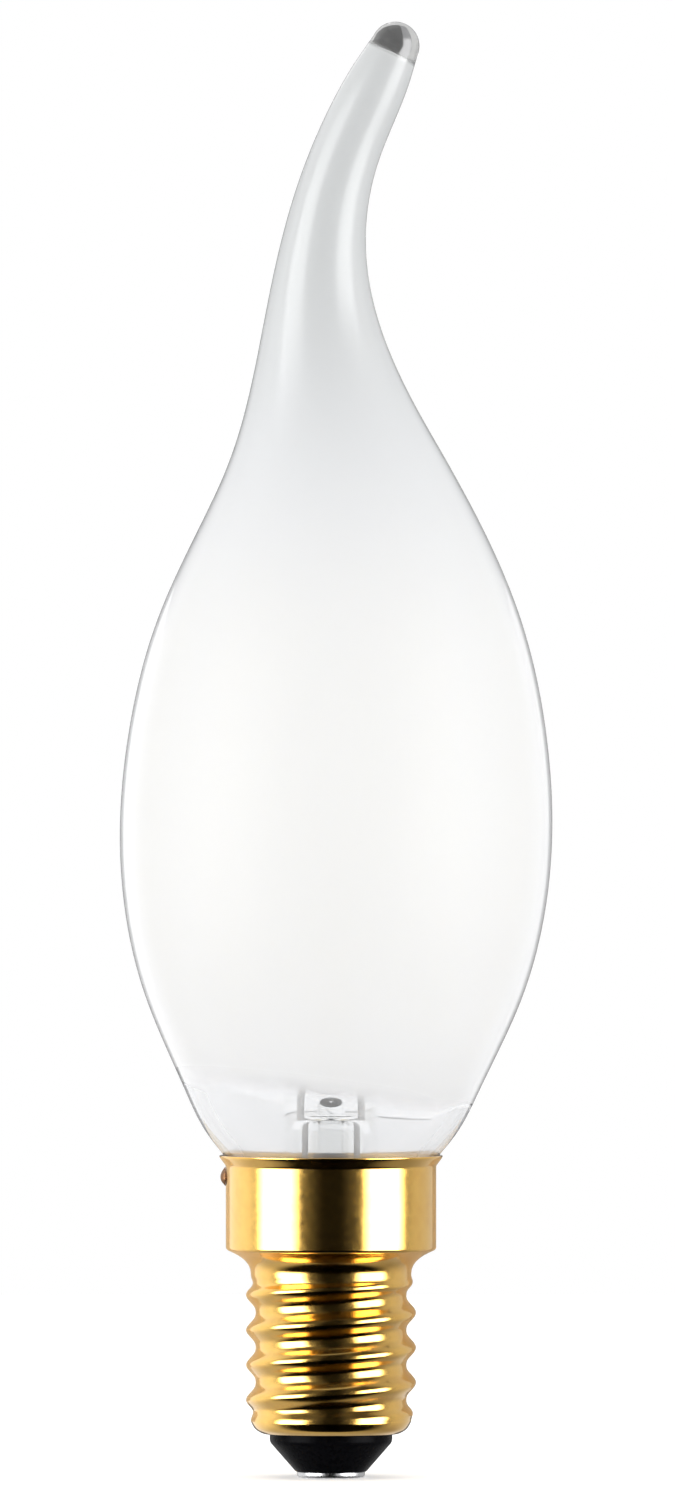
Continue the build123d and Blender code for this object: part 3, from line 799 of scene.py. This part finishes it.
def stem_glass():
    """Stem with the vent cut into its shoulder; the walls of the vent keep their own glass."""
    stem, vent = stem_body(), vent_cutter()
    cut = stem.modifiers.new("vent", "BOOLEAN")
    cut.operation, cut.object, cut.material_mode = "DIFFERENCE", vent, "TRANSFER"
    bpy.context.view_layer.update()
    holed = bpy.data.meshes.new_from_object(stem.evaluated_get(bpy.context.evaluated_depsgraph_get()))
    holed.set_sharp_from_angle(angle=radians(VENT_CREASE))
    stem.modifiers.clear()
    stem.data = holed
    bpy.data.objects.remove(vent)
    return stem


def exhaust_glass():
    """Pumping tube, tipped off at its lower end."""
    return turned("exhaust_glass", rounded([
        (0.0, EXHAUST_END, 0.0),
        (EXHAUST_RADIUS - EXHAUST_BORE, EXHAUST_END, EXHAUST_ROUNDS[0]),
        (EXHAUST_RADIUS, EXHAUST_END + EXHAUST_TIP, EXHAUST_ROUNDS[1]),
        (EXHAUST_RADIUS, EXHAUST_TOP, 0.0),
        (EXHAUST_BORE, EXHAUST_TOP, 0.0),
        (EXHAUST_BORE, EXHAUST_END + EXHAUST_TIP, EXHAUST_ROUNDS[2]),
        (0.0, EXHAUST_END + EXHAUST_TIP, 0.0),
    ]), FINISH["clear_glass"])


dress(glass_bulb(), "glass_envelope")
dress(cap_shell(), "screw_shell")
dress(cap_insulator(), "insulator")
dress(centre_contact(), "contact_plate")
dress(weld_bead(), "side_weld")
dress(stem_glass(), "stem")
dress(exhaust_glass(), "exhaust_tube")


# Stage


def white_floor():
    """White floor that keeps the soft shadow, and that clear glass shows in an even white."""
    material, tree, shader = new_material("stage_white")
    tree.nodes.remove(shader)
    glow, lit = add(tree, "Emission"), add(tree, "BsdfDiffuse", {"Color": FLOOR_COLOUR})
    tree.links.new(calc(tree, "MULTIPLY", seen_ray(tree), FLOOR_GLOW), glow.inputs["Strength"])
    total = add(tree, "AddShader")
    tree.links.new(glow.outputs["Emission"], total.inputs[0])
    tree.links.new(lit.outputs["BSDF"], total.inputs[1])
    through = add(tree, "Emission", {"Strength": THROUGH_GLOW}).outputs["Emission"]
    show(tree, blend(tree, refracted_ray(tree), total.outputs["Shader"], through))
    bpy.ops.mesh.primitive_circle_add(
        vertices=FLOOR_CORNERS, radius=FLOOR_RADIUS * MM,
        fill_type="NGON", location=(0, 0, -FLOOR_SINK * MM),
    )
    floor = bpy.context.object
    floor.name = "floor"
    floor.data.materials.append(material)
    floor.visible_glossy = False


def between(tree, angle, ends, *levels):
    """Smooth change from one level to another between two angles."""
    return ranged(tree, angle, *map(radians, ends), *levels, smooth=True)


def window(tree, angle, ends, soft):
    """One between two angles and nothing outside, with soft ends."""
    low, high = ends
    rise = between(tree, angle, (low - soft, low + soft))
    fall = between(tree, angle, (high - soft, high + soft), 1.0, 0.0)
    return calc(tree, "MULTIPLY", rise, fall)


def mirrored_studio(tree, direction, behind):
    """What metal and glossy glass mirror: two softboxes, a dark room in front and a pale one behind."""
    ahead = calc(tree, "MULTIPLY", direction.outputs["Y"], -1.0)
    side = calc(tree, "ABSOLUTE", calc(tree, "ARCTAN2", direction.outputs["X"], ahead), 0.0)
    level = calc(tree, "ARCSINE", direction.outputs["Z"], 0.0)
    front = between(tree, side, FRONT_SIDES, FRONT_GLOW, SIDE_GLOW)
    below = between(tree, level, TABLE_LEVELS, TABLE_GLOW, 1.0)
    back = between(tree, side, BACK_SIDES, 0.0, BACK_GLOW)
    low = between(tree, level, LOW_LEVELS, LOW_SHARE, 1.0)
    room = calc(tree, "ADD", calc(tree, "MULTIPLY", front, below), calc(tree, "MULTIPLY", back, low))
    above = between(tree, level, CEILING_LEVELS, 1.0, CEILING_GLOW)
    across = ranged(tree, direction.outputs["X"], *RIGHT_SPAN, *LEFT_TO_RIGHT)
    flags = ranged(tree, window(tree, behind, FLAG_ANGLES, FLAG_EDGE), 0, 1, 1.0, FLAG_GLOW)
    for share in (above, across, flags):
        room = calc(tree, "MULTIPLY", room, share)
    sides = window(tree, side, SOFTBOX_SIDES, SOFTBOX_EDGE)
    levels = window(tree, level, SOFTBOX_LEVELS, SOFTBOX_FADE)
    softbox = calc(tree, "MULTIPLY", sides, levels)
    return calc(tree, "ADD", room, calc(tree, "MULTIPLY", softbox, SOFTBOX_GLOW))


def studio():
    """World: even white light and background, a mirrored studio for gloss and a white for clear glass."""
    world = bpy.data.worlds.new("studio")
    bpy.context.scene.world = world
    world.use_nodes = True
    tree = world.node_tree
    sky = tree.nodes["Background"]
    sky.inputs["Color"].default_value = (1, 1, 1, 1)
    direction = add(tree, "SeparateXYZ")
    tree.links.new(add(tree, "TexCoord").outputs["Generated"], direction.inputs["Vector"])
    behind = calc(tree, "ARCCOSINE", direction.outputs["Y"], 0.0)
    refracted = refracted_ray(tree)
    reflected = calc(tree, "SUBTRACT", add(tree, "LightPath").outputs["Is Glossy Ray"], refracted)
    through = between(tree, behind, THROUGH_ANGLES, 1.0, THROUGH_GLOW)
    light = ranged(tree, refracted, 0, 1, AMBIENT, 0.0)
    for share, glow in ((refracted, through), (reflected, mirrored_studio(tree, direction, behind))):
        mix = add(tree, "Mix", data_type="FLOAT")
        for socket, value in (("Factor", share), ("A", light), ("B", glow)):
            tree.links.new(value, mix.inputs[socket])
        light = mix.outputs["Result"]
    tree.links.new(light, sky.inputs["Strength"])


def stage_card(name, sides, levels, behind, light, dark):
    """Upright card behind the bulb, hidden from the camera: only gloss and clear glass show it."""
    bpy.ops.mesh.primitive_plane_add(
        size=1, location=(sum(sides) / 2 * MM, behind * MM, sum(levels) / 2 * MM), rotation=(pi / 2, 0, 0),
    )
    card = bpy.context.object
    card.name = name
    card.scale = ((sides[1] - sides[0]) * MM, (levels[1] - levels[0]) * MM, 1)
    card.data.materials.append(matte(name, light, dark, CARD_ROUGHNESS, CARD_GRAIN, CARD_RELIEF))
    card.visible_camera = card.visible_diffuse = card.visible_shadow = False
    return card


def stage_cards():
    """Cards seen through the drop, and those mirrored in gloss: black by the tail, gold by the cap."""
    drop_cards = ("dark_card", DARK_SIDES, DARK_GREYS), ("grey_card", PALE_SIDES, PALE_GREYS)
    for name, sides, greys in drop_cards:
        stage_card(name, sides, DROP_LEVELS, DROP_BEHIND, *greys).visible_glossy = False
    for name, sides in zip(("flag_left", "flag_right"), TAIL_FLAGS):
        flag = stage_card(name, sides, TAIL_LEVELS, TAIL_BEHIND, TAIL_BLACK, TAIL_BLACK)
        flag.visible_transmission = False
    for name, sides, gold in zip(("cap_left", "cap_right"), CAP_CARDS, CAP_GOLDS):
        stage_card(name, sides, CAP_LEVELS, CAP_BEHIND, gold, gold).visible_transmission = False


def softbox_lamps():
    """Two large soft lamps at the sides, which gloss doesn't mirror."""
    turn = radians(LAMP_SIDE)
    ahead, aside = LAMP_DISTANCE * cos(turn), LAMP_DISTANCE * sin(turn)
    for name, facing, glow in zip(("softbox_left", "softbox_right"), (-1, 1), LAMP_GLOW):
        lamp = bpy.data.lights.new(name, "AREA")
        lamp.shape = "RECTANGLE"
        lamp.size = lamp.size_y = LAMP_SIZE * MM
        lamp.energy = glow * pi * lamp.size * lamp.size_y
        box = bpy.data.objects.new(name, lamp)
        box.location = (facing * aside * MM, -ahead * MM, LAMP_LEVEL * MM)
        box.rotation_euler = (pi / 2, 0, facing * turn)
        box.visible_camera = False
        box.visible_glossy = False
        bpy.context.scene.collection.objects.link(box)


def photo_camera():
    """Level camera far in front, placed so that the picture has the photo's scale and place."""
    camera = bpy.data.cameras.new("camera")
    camera.sensor_fit = "VERTICAL"
    camera.sensor_height = SENSOR
    camera.lens = SENSOR * CAMERA_DISTANCE / (PIXEL * PICTURE_HEIGHT)
    camera.clip_end = CAMERA_REACH * MM
    eye = bpy.data.objects.new("camera", camera)
    centre_x = (PICTURE_WIDTH / 2 - AXIS_COLUMN) * PIXEL
    centre_z = (CONTACT_ROW - PICTURE_HEIGHT / 2) * PIXEL
    eye.location = (centre_x * MM, -CAMERA_DISTANCE * MM, centre_z * MM)
    eye.rotation_euler = (pi / 2, 0, 0)
    bpy.context.scene.collection.objects.link(eye)
    bpy.context.scene.camera = eye


white_floor()
studio()
stage_cards()
softbox_lamps()
photo_camera()
bpy.context.scene.view_settings.view_transform = "Standard"
